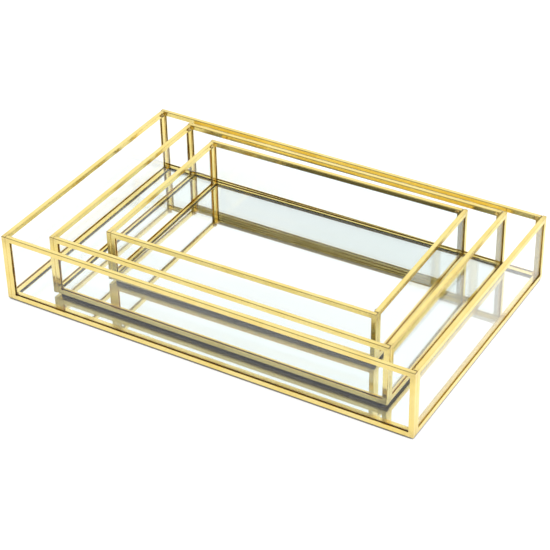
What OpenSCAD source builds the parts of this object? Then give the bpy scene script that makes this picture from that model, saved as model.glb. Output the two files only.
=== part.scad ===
// Nested set of three mirrored glass trays in brass channel.
// Each tray is five framed panels: four glass walls and a mirror floor. The walls meet in a
// pinwheel, so each wall covers the edge of the next one at its right-hand end. The medium tray
// stands on the large tray's mirror, and the small tray stands on the medium tray's mirror.

/* [Large tray] */
// Outer length, along X
large_length = 358; // [320:1:400]
// Outer depth, along Y
large_depth = 229; // [215:1:260]
// Height from the underside of the felt to the top rails
large_height = 59; // [50:1:70]

/* [Medium tray] */
// Outer length, along X
medium_length = 296; // [275:1:300]
// Outer depth, along Y
medium_depth = 203; // [190:1:204]
// Height from the underside of the felt to the top rails
medium_height = 52.5; // [45:0.5:60]
// Distance from the large tray's centre towards the right
medium_side_shift = 0.7; // [-5:0.1:5]
// Distance from the large tray's centre towards the back
medium_back_shift = 6.2; // [-6.5:0.1:6.5]

/* [Small tray] */
// Outer length, along X
small_length = 236; // [200:0.5:240]
// Outer depth, along Y
small_depth = 161; // [130:1:162]
// Height from the underside of the felt to the top rails
small_height = 44.7; // [35:0.1:55]
// Distance from the medium tray's centre towards the right
small_side_shift = 0.8; // [-5:0.1:5]
// Distance from the medium tray's centre towards the back
small_back_shift = 11.8; // [-12:0.1:12]
// Turn on the medium tray's mirror, anticlockwise from above, in degrees
small_turn = 0.8; // [-1:0.1:1]

/* [Brass channel] */
// Width across the glass that it holds
channel_width = 3.7; // [3.2:0.1:4]
// Depth from its back to its lips
channel_depth = 4; // [3:0.1:4.2]
// Thickness of the brass
brass_thickness = 0.5; // [0.4:0.05:0.6]
// Outside radius of its two bends
bend_radius = 0.7; // [0.4:0.1:1]

/* [Floor frames] */
// Width of the lip over the edge of the large mirror
large_lip = 3; // [1:0.5:4]
// Width of the lips over the edges of the other two mirrors
inner_lip = 1; // [1:0.5:4]

/* [Glass] */
// Thickness of the wall panes
pane_thickness = 2; // [1.8:0.1:2.2]
// Thickness of the mirror glass
mirror_thickness = 3; // [2:0.5:4]
// Thickness of the silvering and its paint
silver_thickness = 0.1; // [0.1:0.05:0.3]

/* [Felt base] */
// Thickness of the felt under each tray
felt_thickness = 1.2; // [1:0.1:2]
// Distance from the tray's edge in to the felt
felt_inset = 2.5; // [1:0.5:6]
// Corner radius of the felt
felt_corner_radius = 6; // [2:1:12]
// Gap left under a tray that stands in another
resting_gap = 0.1; // [0.05:0.05:0.2]

/* [Hidden] */
$fn = 24;

floor_frame_height = mirror_thickness + silver_thickness + 2 * brass_thickness;
mirror_top = felt_thickness + brass_thickness + silver_thickness + mirror_thickness;
nest_step = mirror_top + resting_gap;

// Each tray: length, depth, height, where the middle of its felt stands, its turn, and the width
// of the lip over its mirror
LARGE = [large_length, large_depth, large_height, [0, 0, 0], 0, large_lip];
MEDIUM = [medium_length, medium_depth, medium_height,
          [medium_side_shift, medium_back_shift, nest_step], 0, inner_lip];
SMALL = [small_length, small_depth, small_height,
         [medium_side_shift + small_side_shift, medium_back_shift + small_back_shift, 2 * nest_step],
         small_turn, inner_lip];

// Walls are numbered the way the pinwheel runs, and corner N is at the far end of wall N
FRONT = 0;
RIGHT = 1;
BACK = 2;
LEFT = 3;

brass = [0.93, 0.79, 0.36];
post_brass = [0.96, 0.86, 0.52];
clear_glass = [0.86, 0.94, 0.93, 0.3];
mirror_tint = [0.8, 0.91, 0.88, 0.4];
silvering = [0.85, 0.88, 0.89];
dark_felt = [0.2, 0.2, 0.21];

// Length of a wall's outer face: front and back walls run along X, the other two along Y
function wall_run(tray, wall) = tray[wall % 2];
function wall_length(tray, wall) = wall_run(tray, wall) - channel_width;
function wall_height(tray) = tray[2] - felt_thickness;

// Cross-section of the channel: back at the bottom, lips at the top
module channel_section() {
    difference() {
        union() {
            translate([0, bend_radius]) square([channel_width, channel_depth - bend_radius]);
            translate([bend_radius, 0]) square([channel_width - 2 * bend_radius, bend_radius]);
            for (x = [bend_radius, channel_width - bend_radius])
                translate([x, bend_radius]) circle(bend_radius);
        }
        translate([brass_thickness, brass_thickness])
            square([channel_width - 2 * brass_thickness, channel_depth]);
    }
}

// Channel that lies along +X with its lips up and both ends mitred at 45 degrees
module mitred_channel(length) {
    intersection() {
        rotate([90, 0, 90]) linear_extrude(length) channel_section();
        translate([0, channel_width, 0]) rotate([90, 0, 0]) linear_extrude(channel_width)
            polygon([[0, 0], [length, 0],
                     [length - channel_depth, channel_depth], [channel_depth, channel_depth]]);
    }
}

// Places a tray's parts, from the middle of its felt
module on_tray(tray) {
    translate(tray[3]) rotate([0, 0, tray[4]]) children();
}

// Places a wall's parts: X along the wall from its covered end, Y inwards from its outer face
module on_wall(tray, wall) {
    on_tray(tray) rotate([0, 0, 90 * wall])
        translate([channel_width - wall_run(tray, wall) / 2,
                   -wall_run(tray, wall + 1) / 2, felt_thickness])
            children();
}

module bottom_rail(tray, wall) {
    on_wall(tray, wall) mitred_channel(wall_length(tray, wall));
}

module top_rail(tray, wall) {
    on_wall(tray, wall)
        translate([0, channel_width, wall_height(tray)]) rotate([180, 0, 0])
            mitred_channel(wall_length(tray, wall));
}

// Upright channel at a wall's far end, with its back outwards
module end_stile(tray, wall) {
    on_wall(tray, wall)
        translate([wall_length(tray, wall), 0, 0]) rotate([0, -90, 0])
            mitred_channel(wall_height(tray));
}

// Upright channel at a wall's covered end, with its back against the wall before it
module start_stile(tray, wall) {
    on_wall(tray, wall)
        translate([0, channel_width, 0]) rotate([0, -90, 180])
            mitred_channel(wall_height(tray));
}

// Two uprights soldered together where one wall covers the edge of the next
module corner_post(tray, wall) {
    end_stile(tray, wall);
    start_stile(tray, (wall + 1) % 4);
}

module pane(tray, wall) {
    on_wall(tray, wall)
        translate([brass_thickness, (channel_width - pane_thickness) / 2, brass_thickness])
            cube([wall_length(tray, wall) - 2 * brass_thickness, pane_thickness,
                  wall_height(tray) - 2 * brass_thickness]);
}

// Block centred on the tray, held in from its outer faces, from one height to another
module floor_block(tray, inset, low, high) {
    on_tray(tray) translate([inset - tray[0] / 2, inset - tray[1] / 2, low])
        cube([tray[0] - 2 * inset, tray[1] - 2 * inset, high - low]);
}

// Channel bent round the mirror, with its lips inwards: the lower one carries the silvered glass
module floor_frame(tray) {
    pocket_low = felt_thickness + brass_thickness;
    pocket_high = felt_thickness + floor_frame_height - brass_thickness;
    difference() {
        floor_block(tray, channel_width, felt_thickness, pocket_high + brass_thickness);
        floor_block(tray, channel_width + brass_thickness, pocket_low, pocket_high);
        floor_block(tray, channel_width + channel_depth, felt_thickness - 1, pocket_high - 1);
        floor_block(tray, channel_width + tray[5], pocket_low + 1, pocket_high + 1);
    }
}

module mirror_glass(tray) {
    floor_block(tray, channel_width + brass_thickness, mirror_top - mirror_thickness, mirror_top);
}

module mirror_silver(tray) {
    floor_block(tray, channel_width + brass_thickness,
                felt_thickness + brass_thickness, mirror_top - mirror_thickness);
}

module felt(tray) {
    half_length = tray[0] / 2 - felt_inset;
    half_depth = tray[1] / 2 - felt_inset;
    on_tray(tray) linear_extrude(felt_thickness) union() {
        square([2 * half_length, 2 * (half_depth - felt_corner_radius)], center = true);
        square([2 * (half_length - felt_corner_radius), 2 * half_depth], center = true);
        for (x = [-1, 1], y = [-1, 1])
            translate([x * (half_length - felt_corner_radius), y * (half_depth - felt_corner_radius)])
                circle(felt_corner_radius);
    }
}

// Large tray
module large_front_top_rail() { color(brass) top_rail(LARGE, FRONT); }
module large_right_top_rail() { color(brass) top_rail(LARGE, RIGHT); }
module large_back_top_rail() { color(brass) top_rail(LARGE, BACK); }
module large_left_top_rail() { color(brass) top_rail(LARGE, LEFT); }
module large_front_bottom_rail() { color(brass) bottom_rail(LARGE, FRONT); }
module large_right_bottom_rail() { color(brass) bottom_rail(LARGE, RIGHT); }
module large_back_bottom_rail() { color(brass) bottom_rail(LARGE, BACK); }
module large_left_bottom_rail() { color(brass) bottom_rail(LARGE, LEFT); }
module large_front_right_post() { color(post_brass) corner_post(LARGE, FRONT); }
module large_back_right_post() { color(post_brass) corner_post(LARGE, RIGHT); }
module large_back_left_post() { color(post_brass) corner_post(LARGE, BACK); }
module large_front_left_post() { color(post_brass) corner_post(LARGE, LEFT); }
module large_front_pane() { color(clear_glass) pane(LARGE, FRONT); }
module large_right_pane() { color(clear_glass) pane(LARGE, RIGHT); }
module large_back_pane() { color(clear_glass) pane(LARGE, BACK); }
module large_left_pane() { color(clear_glass) pane(LARGE, LEFT); }
module large_floor_frame() { color(brass) floor_frame(LARGE); }
module large_mirror_glass() { color(mirror_tint) mirror_glass(LARGE); }
module large_mirror_silver() { color(silvering) mirror_silver(LARGE); }
module large_felt() { color(dark_felt) felt(LARGE); }

// Medium tray
module medium_front_top_rail() { color(brass) top_rail(MEDIUM, FRONT); }
module medium_right_top_rail() { color(brass) top_rail(MEDIUM, RIGHT); }
module medium_back_top_rail() { color(brass) top_rail(MEDIUM, BACK); }
module medium_left_top_rail() { color(brass) top_rail(MEDIUM, LEFT); }
module medium_front_bottom_rail() { color(brass) bottom_rail(MEDIUM, FRONT); }
module medium_right_bottom_rail() { color(brass) bottom_rail(MEDIUM, RIGHT); }
module medium_back_bottom_rail() { color(brass) bottom_rail(MEDIUM, BACK); }
module medium_left_bottom_rail() { color(brass) bottom_rail(MEDIUM, LEFT); }
module medium_front_right_post() { color(post_brass) corner_post(MEDIUM, FRONT); }
module medium_back_right_post() { color(post_brass) corner_post(MEDIUM, RIGHT); }
module medium_back_left_post() { color(post_brass) corner_post(MEDIUM, BACK); }
module medium_front_left_post() { color(post_brass) corner_post(MEDIUM, LEFT); }
module medium_front_pane() { color(clear_glass) pane(MEDIUM, FRONT); }
module medium_right_pane() { color(clear_glass) pane(MEDIUM, RIGHT); }
module medium_back_pane() { color(clear_glass) pane(MEDIUM, BACK); }
module medium_left_pane() { color(clear_glass) pane(MEDIUM, LEFT); }
module medium_floor_frame() { color(brass) floor_frame(MEDIUM); }
module medium_mirror_glass() { color(mirror_tint) mirror_glass(MEDIUM); }
module medium_mirror_silver() { color(silvering) mirror_silver(MEDIUM); }
module medium_felt() { color(dark_felt) felt(MEDIUM); }

// Small tray
module small_front_top_rail() { color(brass) top_rail(SMALL, FRONT); }
module small_right_top_rail() { color(brass) top_rail(SMALL, RIGHT); }
module small_back_top_rail() { color(brass) top_rail(SMALL, BACK); }
module small_left_top_rail() { color(brass) top_rail(SMALL, LEFT); }
module small_front_bottom_rail() { color(brass) bottom_rail(SMALL, FRONT); }
module small_right_bottom_rail() { color(brass) bottom_rail(SMALL, RIGHT); }
module small_back_bottom_rail() { color(brass) bottom_rail(SMALL, BACK); }
module small_left_bottom_rail() { color(brass) bottom_rail(SMALL, LEFT); }
module small_front_right_post() { color(post_brass) corner_post(SMALL, FRONT); }
module small_back_right_post() { color(post_brass) corner_post(SMALL, RIGHT); }
module small_back_left_post() { color(post_brass) corner_post(SMALL, BACK); }
module small_front_left_post() { color(post_brass) corner_post(SMALL, LEFT); }
module small_front_pane() { color(clear_glass) pane(SMALL, FRONT); }
module small_right_pane() { color(clear_glass) pane(SMALL, RIGHT); }
module small_back_pane() { color(clear_glass) pane(SMALL, BACK); }
module small_left_pane() { color(clear_glass) pane(SMALL, LEFT); }
module small_floor_frame() { color(brass) floor_frame(SMALL); }
module small_mirror_glass() { color(mirror_tint) mirror_glass(SMALL); }
module small_mirror_silver() { color(silvering) mirror_silver(SMALL); }
module small_felt() { color(dark_felt) felt(SMALL); }

large_front_top_rail();
large_right_top_rail();
large_back_top_rail();
large_left_top_rail();
large_front_bottom_rail();
large_right_bottom_rail();
large_back_bottom_rail();
large_left_bottom_rail();
large_front_right_post();
large_back_right_post();
large_back_left_post();
large_front_left_post();
large_front_pane();
large_right_pane();
large_back_pane();
large_left_pane();
large_floor_frame();
large_mirror_glass();
large_mirror_silver();
large_felt();
medium_front_top_rail();
medium_right_top_rail();
medium_back_top_rail();
medium_left_top_rail();
medium_front_bottom_rail();
medium_right_bottom_rail();
medium_back_bottom_rail();
medium_left_bottom_rail();
medium_front_right_post();
medium_back_right_post();
medium_back_left_post();
medium_front_left_post();
medium_front_pane();
medium_right_pane();
medium_back_pane();
medium_left_pane();
medium_floor_frame();
medium_mirror_glass();
medium_mirror_silver();
medium_felt();
small_front_top_rail();
small_right_top_rail();
small_back_top_rail();
small_left_top_rail();
small_front_bottom_rail();
small_right_bottom_rail();
small_back_bottom_rail();
small_left_bottom_rail();
small_front_right_post();
small_back_right_post();
small_back_left_post();
small_front_left_post();
small_front_pane();
small_right_pane();
small_back_pane();
small_left_pane();
small_floor_frame();
small_mirror_glass();
small_mirror_silver();
small_felt();
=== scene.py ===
"""The nested set of three mirrored glass trays, on a white table in soft light.

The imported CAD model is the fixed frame. This script gives every CAD piece its material, adds the
solder at the corners of the brass frames, and sets the table, the light and the camera.
"""

import math

import bmesh
import bpy
from mathutils import Matrix, Vector, noise


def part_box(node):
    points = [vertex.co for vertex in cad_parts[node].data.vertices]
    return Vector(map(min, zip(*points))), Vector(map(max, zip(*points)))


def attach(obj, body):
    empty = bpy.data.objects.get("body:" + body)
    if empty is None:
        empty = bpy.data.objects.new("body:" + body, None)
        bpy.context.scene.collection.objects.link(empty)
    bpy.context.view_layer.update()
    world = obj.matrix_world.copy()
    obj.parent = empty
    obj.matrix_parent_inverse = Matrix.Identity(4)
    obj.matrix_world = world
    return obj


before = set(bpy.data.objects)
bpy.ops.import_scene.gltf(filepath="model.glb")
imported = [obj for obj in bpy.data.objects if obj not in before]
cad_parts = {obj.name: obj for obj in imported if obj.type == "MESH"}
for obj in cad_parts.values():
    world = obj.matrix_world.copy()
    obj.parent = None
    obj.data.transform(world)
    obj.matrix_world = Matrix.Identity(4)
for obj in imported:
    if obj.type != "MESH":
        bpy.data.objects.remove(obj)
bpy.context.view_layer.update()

MM = 0.001
TRAYS = ("large", "medium", "small")
WALLS = ("front", "right", "back", "left")
CORNERS = ("front_right", "back_right", "back_left", "front_left")

# ---------------------------------------------------------------- camera

CAMERA_PLACE = Vector((591.6, -988.0, 808.2)) * MM
CAMERA_AZIMUTH = 31.13
CAMERA_ELEVATION = 34.16
CAMERA_ROLL = -1.26
LENS_MM = 115.7
SENSOR_MM = 36.0
SHIFT_X = 0.0093
SHIFT_Y = -0.0262


def make_camera():
    """The camera, looking along the azimuth and down by the elevation."""
    a = math.radians(CAMERA_AZIMUTH)
    e = math.radians(CAMERA_ELEVATION)
    r = math.radians(CAMERA_ROLL)
    forward = Vector((-math.sin(a) * math.cos(e), math.cos(a) * math.cos(e), -math.sin(e)))
    level_right = Vector((math.cos(a), math.sin(a), 0))
    level_up = level_right.cross(forward)
    right = level_right * math.cos(r) + level_up * math.sin(r)
    up = level_up * math.cos(r) - level_right * math.sin(r)
    turn = Matrix((right, up, -forward)).transposed()
    data = bpy.data.cameras.new("camera")
    data.lens = LENS_MM
    data.sensor_width = SENSOR_MM
    data.shift_x = SHIFT_X
    data.shift_y = SHIFT_Y
    camera = bpy.data.objects.new("camera", data)
    camera.matrix_world = Matrix.Translation(CAMERA_PLACE) @ turn.to_4x4()
    bpy.context.scene.collection.objects.link(camera)
    bpy.context.scene.camera = camera


make_camera()

# ---------------------------------------------------------------- node helpers


class Graph:
    """A node tree with short calls for adding nodes and joining them."""

    def __init__(self, tree):
        self.tree = tree
        tree.nodes.clear()

    def add(self, kind, inputs=None, **settings):
        """A node, with its settings, and with each input either joined to a socket or set."""
        node = self.tree.nodes.new(kind)
        for name, value in settings.items():
            setattr(node, name, value)
        for key, value in (inputs or {}).items():
            if isinstance(value, bpy.types.NodeSocket):
                self.tree.links.new(value, node.inputs[key])
            else:
                node.inputs[key].default_value = value
        return node

    def place(self):
        """The point on the piece, in metres, in the CAD frame."""
        return self.add("ShaderNodeTexCoord").outputs["Object"]

    def scaled(self, vector, scale):
        """A vector scaled along each axis."""
        return self.add("ShaderNodeMapping", {"Vector": vector, "Scale": scale}).outputs[0]

    def noise(self, vector, scale, detail=3.0, roughness=0.55):
        """Cloudy noise from 0 to 1."""
        return self.add(
            "ShaderNodeTexNoise",
            {"Vector": vector, "Scale": scale, "Detail": detail, "Roughness": roughness},
        ).outputs["Fac"]

    def ramp(self, value, low, high, to_low=0.0, to_high=1.0):
        """A value taken smoothly from one range to another."""
        return self.add(
            "ShaderNodeMapRange",
            {
                "Value": value,
                "From Min": low,
                "From Max": high,
                "To Min": to_low,
                "To Max": to_high,
            },
            interpolation_type="SMOOTHSTEP",
        ).outputs["Result"]

    def math(self, operation, a, b):
        """One sum on two numbers or sockets."""
        return self.add("ShaderNodeMath", {0: a, 1: b}, operation=operation).outputs[0]

    def vector(self, operation, a, b=None, out="Vector"):
        """One sum on vectors."""
        inputs = {0: a} if b is None else {0: a, 1: b}
        return self.add("ShaderNodeVectorMath", inputs, operation=operation).outputs[out]

    def mix(self, factor, a, b):
        """A blend of two colours."""
        node = self.add("ShaderNodeMix", data_type="RGBA")
        for socket, value in ((node.inputs[0], factor), (node.inputs[6], a), (node.inputs[7], b)):
            if isinstance(value, bpy.types.NodeSocket):
                self.tree.links.new(value, socket)
            elif isinstance(value, tuple):
                socket.default_value = (*value, 1.0)
            else:
                socket.default_value = value
        return node.outputs[2]

    def bump(self, height, distance, strength=1.0, normal=None):
        """A normal that follows a height, where the distance is the height's full depth."""
        inputs = {"Height": height, "Distance": distance, "Strength": strength}
        if normal is not None:
            inputs["Normal"] = normal
        return self.add("ShaderNodeBump", inputs).outputs["Normal"]

    def finish(self, surface):
        """The surface joined to the material's output."""
        self.add("ShaderNodeOutputMaterial", {"Surface": surface})


def new_material(name):
    """A new material and its graph."""
    material = bpy.data.materials.new(name)
    material.use_nodes = True
    return material, Graph(material.node_tree)


# ---------------------------------------------------------------- materials

PALE_GOLD = (0.88, 0.72, 0.295)
WARM_GOLD = (0.83, 0.645, 0.215)
DULL_GOLD = (0.48, 0.35, 0.13)
SEAM_BROWN = (0.16, 0.10, 0.035)
HAIR_ALONG = 30.0
HAIR_ACROSS = 1700.0
HEAT_NEAR = 3 * MM
HEAT_FAR = 13 * MM
SEAM_WIDTH = 0.45 * MM


def brass(name, along, box, length=None):
    """Polished brass strip: fine draw lines along it, a slight waviness, faint stains, and duller
    metal where the corners of the box were heated for soldering. With a length, in metres, it
    also has a dark seam at each end."""
    material, g = new_material(name)
    place = g.place()
    low, high = box
    middle = (low + high) / 2
    half = (high - low) / 2
    to_corner = g.vector(
        "SUBTRACT", tuple(half), g.vector("ABSOLUTE", g.vector("SUBTRACT", place, tuple(middle)))
    )
    reach = g.vector("LENGTH", to_corner, out="Value")
    blotch = g.noise(place, 260.0, 3.0)
    near_corner = g.ramp(reach, HEAT_NEAR, HEAT_FAR, 1.0, 0.0)
    heat = g.math("MULTIPLY", near_corner, g.ramp(blotch, 0.3, 0.7, 0.35, 1.0))
    grain = [HAIR_ACROSS] * 3
    grain["XYZ".index(along)] = HAIR_ALONG
    hair = g.noise(g.scaled(place, tuple(grain)), 1.0, 2.0)
    patches = g.noise(place, 34.0, 4.0)
    stains = g.ramp(g.noise(place, 420.0, 3.0, 0.7), 0.62, 0.74)
    wave = g.noise(place, 75.0, 1.0)
    dent = g.noise(place, 310.0, 2.0)
    gold = g.mix(g.ramp(patches, 0.3, 0.7), PALE_GOLD, WARM_GOLD)
    gold = g.mix(g.math("MULTIPLY", stains, 0.35), gold, DULL_GOLD)
    gold = g.mix(g.math("MULTIPLY", heat, 0.4), gold, DULL_GOLD)
    if length is not None:
        share = g.add("ShaderNodeTexCoord").outputs["Generated"]
        share = g.add("ShaderNodeSeparateXYZ", {0: share}).outputs[along]
        from_middle = g.math("ABSOLUTE", g.math("SUBTRACT", share, 0.5), 0.0)
        from_end = g.math("MULTIPLY", g.math("SUBTRACT", 0.5, from_middle), length)
        from_end = g.math("ADD", from_end, g.ramp(dent, 0.3, 0.7, -0.5 * SEAM_WIDTH, 0.0))
        seam = g.ramp(from_end, 0.3 * SEAM_WIDTH, SEAM_WIDTH, 0.85, 0.0)
        gold = g.mix(seam, gold, SEAM_BROWN)
    rough = g.math("ADD", g.ramp(hair, 0.2, 0.8, 0.10, 0.19), g.math("MULTIPLY", stains, 0.12))
    rough = g.math("ADD", rough, g.math("MULTIPLY", heat, 0.12))
    normal = g.bump(wave, 0.06 * MM)
    normal = g.bump(dent, 0.006 * MM, normal=normal)
    normal = g.bump(hair, 0.0012 * MM, normal=normal)
    shader = g.add(
        "ShaderNodeBsdfPrincipled",
        {"Base Color": gold, "Metallic": 1.0, "Roughness": rough, "Normal": normal},
    )
    g.finish(shader.outputs[0])
    return material


GLASS_CLEAR = (0.986, 0.998, 0.994)
GLASS_GREEN = (0.974, 0.993, 0.987)
LAMP_TINT = (0.985, 0.995, 0.990, 1.0)
PANE_IOR = 1.40
MIRROR_IOR = 1.52


def clear_glass(name):
    """Thin float glass with a faint green cast and the lightest smudges. Shadow rays and diffuse
    rays go straight through it, so that light reaches what stands behind."""
    material, g = new_material(name)
    place = g.place()
    tint = g.mix(g.ramp(g.noise(place, 9.0, 2.0), 0.3, 0.7), GLASS_CLEAR, GLASS_GREEN)
    smudge = g.ramp(g.noise(place, 38.0, 4.0, 0.6), 0.52, 0.75, 0.0, 0.035)
    wave = g.bump(g.noise(place, 14.0, 1.0), 0.004 * MM)
    glass = g.add(
        "ShaderNodeBsdfPrincipled",
        {
            "Base Color": tint,
            "Roughness": smudge,
            "IOR": PANE_IOR,
            "Transmission Weight": 1.0,
            "Normal": wave,
        },
    )
    open_way = g.add("ShaderNodeBsdfTransparent", {"Color": LAMP_TINT})
    ray = g.add("ShaderNodeLightPath").outputs
    straight = g.math("MAXIMUM", ray["Is Shadow Ray"], ray["Is Diffuse Ray"])
    glass, open_way = glass.outputs[0], open_way.outputs[0]
    both = g.add("ShaderNodeMixShader", {0: straight, 1: glass, 2: open_way})
    g.finish(both.outputs[0])
    return material


MIRROR_TINT = (0.945, 0.965, 0.962)
MIRROR_TINT_DEEP = (0.925, 0.955, 0.950)
SILVER = (0.90, 0.905, 0.915)
SILVER_WORN = (0.86, 0.87, 0.87)
WEAR_NEAR = 1 * MM
WEAR_FAR = 9 * MM
# Dark coat on the mirror's cut edges: sealant, and also painted shade for the frame's shaded
# channel.
EDGE_SEAL_AND_SHADE = (0.020, 0.030, 0.026)
EDGE_SEAL_AND_SHADE_WORN = (0.06, 0.075, 0.065)
EDGE_PAINT_ROUGHNESS = 0.6


def mirror_glass(name):
    """The mirror's glass: slightly green, clean, with the faintest wipe marks, and with a dark
    coat on its cut edges, which is both a mirror's sealant and painted shade for the shaded
    channel of the brass frame around it."""
    material, g = new_material(name)
    place = g.place()
    tint = g.mix(g.ramp(g.noise(place, 11.0, 2.0), 0.3, 0.7), MIRROR_TINT, MIRROR_TINT_DEEP)
    wipe = g.noise(g.scaled(place, (60.0, 9.0, 60.0)), 1.0, 3.0)
    glass = g.add(
        "ShaderNodeBsdfPrincipled",
        {
            "Base Color": tint,
            "Roughness": g.ramp(wipe, 0.5, 0.8, 0.0, 0.03),
            "IOR": MIRROR_IOR,
            "Transmission Weight": 1.0,
            "Normal": g.bump(g.noise(place, 12.0, 1.0), 0.003 * MM),
        },
    )
    worn = g.ramp(g.noise(place, 600.0, 3.0), 0.5, 0.75)
    # Dark coat on the upright edge faces: sealant, and also painted shade for the frame's shaded
    # channel.
    sealant_and_shade = g.add(
        "ShaderNodeBsdfPrincipled",
        {
            "Base Color": g.mix(worn, EDGE_SEAL_AND_SHADE, EDGE_SEAL_AND_SHADE_WORN),
            "Roughness": EDGE_PAINT_ROUGHNESS,
        },
    )
    facing = g.add("ShaderNodeNewGeometry").outputs["True Normal"]
    upright = g.math("ABSOLUTE", g.add("ShaderNodeSeparateXYZ", {0: facing}).outputs["Z"], 0.0)
    flat = g.ramp(upright, 0.4, 0.6)
    both = g.add("ShaderNodeMixShader", {0: flat, 1: sealant_and_shade.outputs[0], 2: glass.outputs[0]})
    g.finish(both.outputs[0])
    return material


def silvering(name, box):
    """The silver behind the mirror glass, a little worn in specks towards its edges."""
    material, g = new_material(name)
    place = g.place()
    low, high = box
    middle = (low + high) / 2
    half = (high - low) / 2
    inwards = g.vector(
        "SUBTRACT", tuple(half), g.vector("ABSOLUTE", g.vector("SUBTRACT", place, tuple(middle)))
    )
    parts = g.add("ShaderNodeSeparateXYZ", {0: inwards}).outputs
    edge = g.ramp(g.math("MINIMUM", parts[0], parts[1]), WEAR_NEAR, WEAR_FAR, 1.0, 0.0)
    specks = g.ramp(g.noise(place, 700.0, 3.0, 0.7), 0.55, 0.7)
    worn = g.math("MULTIPLY", edge, specks)
    cloud = g.noise(place, 20.0, 3.0)
    shader = g.add(
        "ShaderNodeBsdfPrincipled",
        {
            "Base Color": g.mix(worn, SILVER, SILVER_WORN),
            "Metallic": 1.0,
            "Roughness": g.math(
                "ADD", g.ramp(cloud, 0.3, 0.8, 0.012, 0.03), g.math("MULTIPLY", worn, 0.04)
            ),
        },
    )
    g.finish(shader.outputs[0])
    return material


FELT_DARK = (0.060, 0.060, 0.066)
FELT_LIGHT = (0.125, 0.125, 0.135)


def felt(name):
    """Pressed felt: matted fibres at half a millimetre, with a soft sheen."""
    material, g = new_material(name)
    place = g.place()
    fibres = g.noise(g.scaled(place, (1.0, 1.0, 2.5)), 1900.0, 4.0, 0.7)
    tufts = g.noise(place, 420.0, 3.0, 0.6)
    clouds = g.noise(place, 45.0, 3.0)
    blend = g.math("ADD", g.math("MULTIPLY", fibres, 0.55), g.math("MULTIPLY", tufts, 0.3))
    blend = g.math("ADD", blend, g.math("MULTIPLY", clouds, 0.15))
    normal = g.bump(tufts, 0.25 * MM)
    normal = g.bump(fibres, 0.12 * MM, normal=normal)
    shader = g.add(
        "ShaderNodeBsdfPrincipled",
        {
            "Base Color": g.mix(g.ramp(blend, 0.35, 0.65), FELT_DARK, FELT_LIGHT),
            "Roughness": g.ramp(fibres, 0.3, 0.7, 0.86, 0.98),
            "Sheen Weight": 0.35,
            "Sheen Roughness": 0.5,
            "Sheen Tint": (0.8, 0.8, 0.85, 1.0),
            "Specular IOR Level": 0.2,
            "Normal": normal,
        },
    )
    g.finish(shader.outputs[0])
    return material


def dress(node, material):
    """The material on every slot of a CAD piece."""
    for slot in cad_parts[node].material_slots:
        slot.material = material


MIRROR_SEAT = 0.02 * MM


def seat_mirror(node):
    """The mirror glass let down a hair onto its silver, so that no two faces share a plane."""
    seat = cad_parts[node].modifiers.new("seat", "DISPLACE")
    seat.direction = "Z"
    seat.mid_level = 0.0
    seat.strength = -MIRROR_SEAT


def tray_box(tray):
    """The lowest and highest corners of a tray's brass frame."""
    lows, highs = zip(*(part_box(f"{tray}_{corner}_post") for corner in CORNERS))
    low = Vector(min(p[i] for p in lows) for i in range(3))
    high = Vector(max(p[i] for p in highs) for i in range(3))
    return low, high


def span(node, axis):
    """How long a piece is along an axis."""
    low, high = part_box(node)
    return high[axis] - low[axis]


PANE = clear_glass("pane_glass")
MIRROR = mirror_glass("mirror_glass_look")
FELT = felt("felt_look")

for tray in TRAYS:
    box = tray_box(tray)
    along_x = brass(f"{tray}_brass_along_x", "X", box, span(f"{tray}_front_top_rail", 0))
    along_y = brass(f"{tray}_brass_along_y", "Y", box, span(f"{tray}_right_top_rail", 1))
    along_z = brass(f"{tray}_brass_along_z", "Z", box, span(f"{tray}_front_right_post", 2))
    frame_brass = brass(f"{tray}_frame_brass", "X", box)
    for wall in WALLS:
        metal = along_x if wall in ("front", "back") else along_y
        dress(f"{tray}_{wall}_top_rail", metal)
        dress(f"{tray}_{wall}_bottom_rail", metal)
        dress(f"{tray}_{wall}_pane", PANE)
    for corner in CORNERS:
        dress(f"{tray}_{corner}_post", along_z)
    dress(f"{tray}_floor_frame", frame_brass)
    dress(f"{tray}_mirror_glass", MIRROR)
    seat_mirror(f"{tray}_mirror_glass")
    silver = f"{tray}_mirror_silver"
    dress(silver, silvering(f"{tray}_silvering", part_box(silver)))
    dress(f"{tray}_felt", FELT)

# ---------------------------------------------------------------- solder

SOLDER_BRIGHT = (0.80, 0.62, 0.24)
SOLDER_DARK = (0.22, 0.14, 0.05)
BEAD_SIZES_MM = {"front_right": 1.1, "back_right": 1.4, "back_left": 1.9, "front_left": 1.1}
BEAD_CORE = 0.50
BEAD_LEG = 0.75
LEG_SHARPNESS = 6
BEAD_ROUGHNESS = 0.16
BEAD_LUMPS = 2.5
TOP_BEAD_DROP = 1.6 * MM
TOP_BEAD_SINK = 0.2
LOW_BEAD_RISE = 0.4 * MM
LOW_BEAD_SHARE = 0.6
FILED_GAP = 0.15 * MM
FILED_DIP = 0.03 * MM


def solder_look():
    """Brass-coloured solder: bright, with dark patches of flux at random, and uneven lumps."""
    material, g = new_material("solder")
    place = g.place()
    lump = g.noise(place, 900.0, 3.0, 0.6)
    flux = g.ramp(g.noise(place, 520.0, 2.0), 0.38, 0.62)
    shader = g.add(
        "ShaderNodeBsdfPrincipled",
        {
            "Base Color": g.mix(flux, SOLDER_DARK, SOLDER_BRIGHT),
            "Metallic": 1.0,
            "Roughness": g.ramp(lump, 0.3, 0.7, 0.16, 0.42),
            "Normal": g.bump(lump, 0.05 * MM),
        },
    )
    g.finish(shader.outputs[0])
    return material


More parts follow.
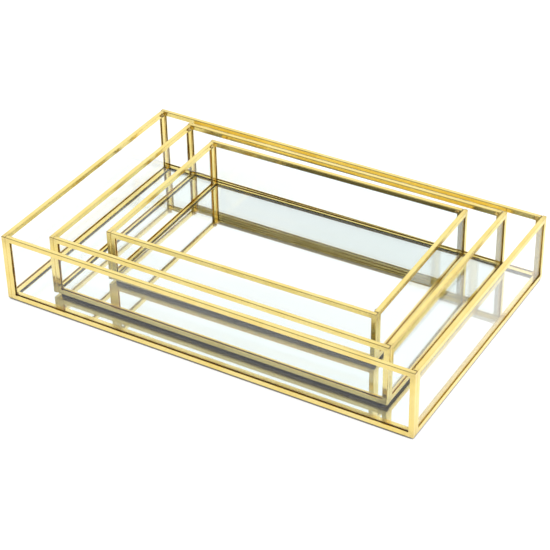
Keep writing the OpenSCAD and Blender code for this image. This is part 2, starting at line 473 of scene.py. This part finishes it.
def add_bead(mesh, centre, size, ceiling):
    """One lump of solder in a corner: a small core with a leg along each strip that meets
    there, all slightly uneven, and filed flat at the ceiling."""
    start = len(mesh.verts)
    bmesh.ops.create_icosphere(mesh, subdivisions=4, radius=1.0)
    mesh.verts.ensure_lookup_table()
    for vert in mesh.verts[start:]:
        way = vert.co.normalized()
        leg = max(abs(part) for part in way) ** LEG_SHARPNESS
        uneven = 1.0 + BEAD_ROUGHNESS * noise.noise(way * BEAD_LUMPS + centre / MM)
        vert.co = centre + way * (size * (BEAD_CORE + BEAD_LEG * leg) * uneven)
        vert.co.z = min(vert.co.z, ceiling + FILED_DIP * way.z)


def add_solder(tray, material):
    """Solder inside the four upper and four lower corners of a tray, in one piece of mesh."""
    solid = bmesh.new()
    middle = sum((Vector(p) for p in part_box(f"{tray}_floor_frame")), Vector()) / 2
    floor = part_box(f"{tray}_mirror_glass")[1][2]
    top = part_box(f"{tray}_front_top_rail")[1][2]
    ceiling = top - FILED_GAP
    for corner in CORNERS:
        low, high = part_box(f"{tray}_{corner}_post")
        x = high[0] if middle.x > high[0] else low[0]
        y = high[1] if middle.y > high[1] else low[1]
        size = BEAD_SIZES_MM[corner] * MM
        z = top - TOP_BEAD_DROP - TOP_BEAD_SINK * size
        add_bead(solid, Vector((x, y, z)), size, ceiling)
        low_size = LOW_BEAD_SHARE * size
        add_bead(solid, Vector((x, y, floor + LOW_BEAD_RISE + low_size)), low_size, ceiling)
    mesh = bpy.data.meshes.new(f"{tray}_solder")
    solid.to_mesh(mesh)
    solid.free()
    mesh.polygons.foreach_set("use_smooth", [True] * len(mesh.polygons))
    mesh.materials.append(material)
    beads = bpy.data.objects.new(f"{tray}_solder", mesh)
    bpy.context.scene.collection.objects.link(beads)
    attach(beads, f"{tray}_tray")


SOLDER = solder_look()
for tray in TRAYS:
    add_solder(tray, SOLDER)

# ---------------------------------------------------------------- table and light

TABLE_HALF = 6.0
TABLE_PALE = (0.25, 0.25, 0.25)
TABLE_PALER = (0.27, 0.27, 0.27)
# Strength of the table's glow, a painted pool of light, at the front and at the back.
TABLE_GLOW_FRONT = 0.89
TABLE_GLOW_BACK = 1.05
GLOW_TOWARDS = (0.6, 0.8, 0.0)
GLOW_FROM = -60 * MM
GLOW_TO = 120 * MM
# Reach of the painted contact shadow on the table.
PAINTED_SHADOW_REACH = 4 * MM
TABLE_DROP = 0.05 * MM
SHORT_RAY = 2 * MM


def make_table():
    """A plain white table that glows from within so that it stays white. Its glow is painted
    light:
    a painted pool of light, brighter to the right and the back, and a painted contact shadow that
    darkens only the thin gap under the brass. It is clear from underneath, and it lets light reach
    the felt that stands on it, so that the underside can be looked at."""
    mesh = bpy.data.meshes.new("table")
    h = TABLE_HALF
    z = -TABLE_DROP
    mesh.from_pydata([(-h, -h, z), (h, -h, z), (h, h, z), (-h, h, z)], [], [(0, 1, 2, 3)])
    table = bpy.data.objects.new("table", mesh)
    bpy.context.scene.collection.objects.link(table)
    material, g = new_material("table_white")
    place = g.place()
    white = g.mix(g.noise(place, 6.0, 2.0), TABLE_PALE, TABLE_PALER)
    # Painted pool of light: the glow grows brighter towards the right and the back.
    back = g.ramp(g.vector("DOT_PRODUCT", place, GLOW_TOWARDS, out="Value"), GLOW_FROM, GLOW_TO)
    # Painted contact shadow: ambient occlusion dims the glow in the thin gap under the brass and
    # the felt.
    painted_shadow_occlusion = g.add("ShaderNodeAmbientOcclusion", {"Distance": PAINTED_SHADOW_REACH}, samples=8)
    painted_contact_shadow = g.ramp(painted_shadow_occlusion.outputs["AO"], 0.25, 0.6)
    glow = g.ramp(back, 0.0, 1.0, TABLE_GLOW_FRONT, TABLE_GLOW_BACK)
    shader = g.add(
        "ShaderNodeBsdfPrincipled",
        {
            "Base Color": white,
            "Roughness": 0.85,
            "Specular IOR Level": 0.1,
            "Emission Color": (1.0, 1.0, 1.0, 1.0),
            "Emission Strength": g.math("MULTIPLY", glow, painted_contact_shadow),
        },
    )
    ray = g.add("ShaderNodeLightPath").outputs
    near = g.math("LESS_THAN", ray["Ray Length"], SHORT_RAY)
    from_felt = g.math("MULTIPLY", ray["Is Diffuse Ray"], near)
    under = g.add("ShaderNodeNewGeometry").outputs["Backfacing"]
    clear = g.math("MAXIMUM", under, from_felt)
    open_way = g.add("ShaderNodeBsdfTransparent")
    both = g.add("ShaderNodeMixShader", {0: clear, 1: shader.outputs[0], 2: open_way.outputs[0]})
    g.finish(both.outputs[0])
    mesh.materials.append(material)


HORIZON = (1.04, 1.04, 1.04)
LOW_WALL = (0.88, 0.88, 0.88)
LOW_WALL_HEIGHTS = (0.04, 0.14)
LIGHT_BAND = (1.22, 1.23, 1.225)
LIGHT_BAND_HEIGHTS = (0.28, 0.47)
CEILING = (0.76, 0.77, 0.78)
CEILING_HEIGHTS = (0.66, 0.86)
SHADE_LOW = (0.11, 0.115, 0.115)
SHADE_MIDDLE = (0.70, 0.72, 0.74)
SHADE_MIDDLE_SLOPES = (0.79, 0.86)
SHADE_HIGH = (0.14, 0.13, 0.12)
SHADE_HIGH_SLOPES = (0.98, 1.12)
SHADE_TOWARDS = Vector((-0.45, -0.72, 0.53)).normalized()
SHADE_INNER = math.radians(18.0)
SHADE_OUTER = math.radians(33.0)
BOX_PLACE = Vector((0.1, 0.15, 2.1))
BOX_SIZE = 1.3
BOX_RADIANCE = 0.85


def make_world():
    """A white room with a broad band of light half way up its walls and a dimmer ceiling. To the
    front left is a dark panel with one lighter strip across it."""
    world = bpy.data.worlds.new("room")
    world.use_nodes = True
    bpy.context.scene.world = world
    g = Graph(world.node_tree)
    way = g.add("ShaderNodeTexCoord").outputs["Generated"]
    part = g.add("ShaderNodeSeparateXYZ", {0: way}).outputs
    height = part["Z"]
    sky = g.mix(g.ramp(height, *LOW_WALL_HEIGHTS), HORIZON, LOW_WALL)
    sky = g.mix(g.ramp(height, *LIGHT_BAND_HEIGHTS), sky, LIGHT_BAND)
    sky = g.mix(g.ramp(height, *CEILING_HEIGHTS), sky, CEILING)
    facing = g.vector("DOT_PRODUCT", way, tuple(SHADE_TOWARDS), out="Value")
    shade = g.ramp(facing, math.cos(SHADE_OUTER), math.cos(SHADE_INNER))
    forwards = g.math("MAXIMUM", g.math("MULTIPLY", part["Y"], -1.0), 0.05)
    slope = g.math("DIVIDE", height, forwards)
    panel = g.mix(g.ramp(slope, *SHADE_MIDDLE_SLOPES), SHADE_LOW, SHADE_MIDDLE)
    panel = g.mix(g.ramp(slope, *SHADE_HIGH_SLOPES), panel, SHADE_HIGH)
    room = g.mix(shade, sky, panel)
    light = g.add("ShaderNodeBackground", {"Color": room, "Strength": 1.0})
    g.add("ShaderNodeOutputWorld", {"Surface": light.outputs[0]})


def make_soft_box():
    """A square area light over the trays, facing their middle."""
    data = bpy.data.lights.new("overhead_box", "AREA")
    data.size = BOX_SIZE
    data.energy = BOX_RADIANCE * math.pi * BOX_SIZE * BOX_SIZE
    lamp = bpy.data.objects.new("overhead_box", data)
    lamp.location = BOX_PLACE
    lamp.rotation_mode = "QUATERNION"
    lamp.rotation_quaternion = (-BOX_PLACE).to_track_quat("-Z", "Y")
    bpy.context.scene.collection.objects.link(lamp)


make_table()
make_world()
make_soft_box()

# ---------------------------------------------------------------- rendering

scene = bpy.context.scene
scene.view_settings.view_transform = "Standard"
scene.cycles.max_bounces = 40
scene.cycles.transmission_bounces = 36
scene.cycles.glossy_bounces = 12
scene.cycles.transparent_max_bounces = 64
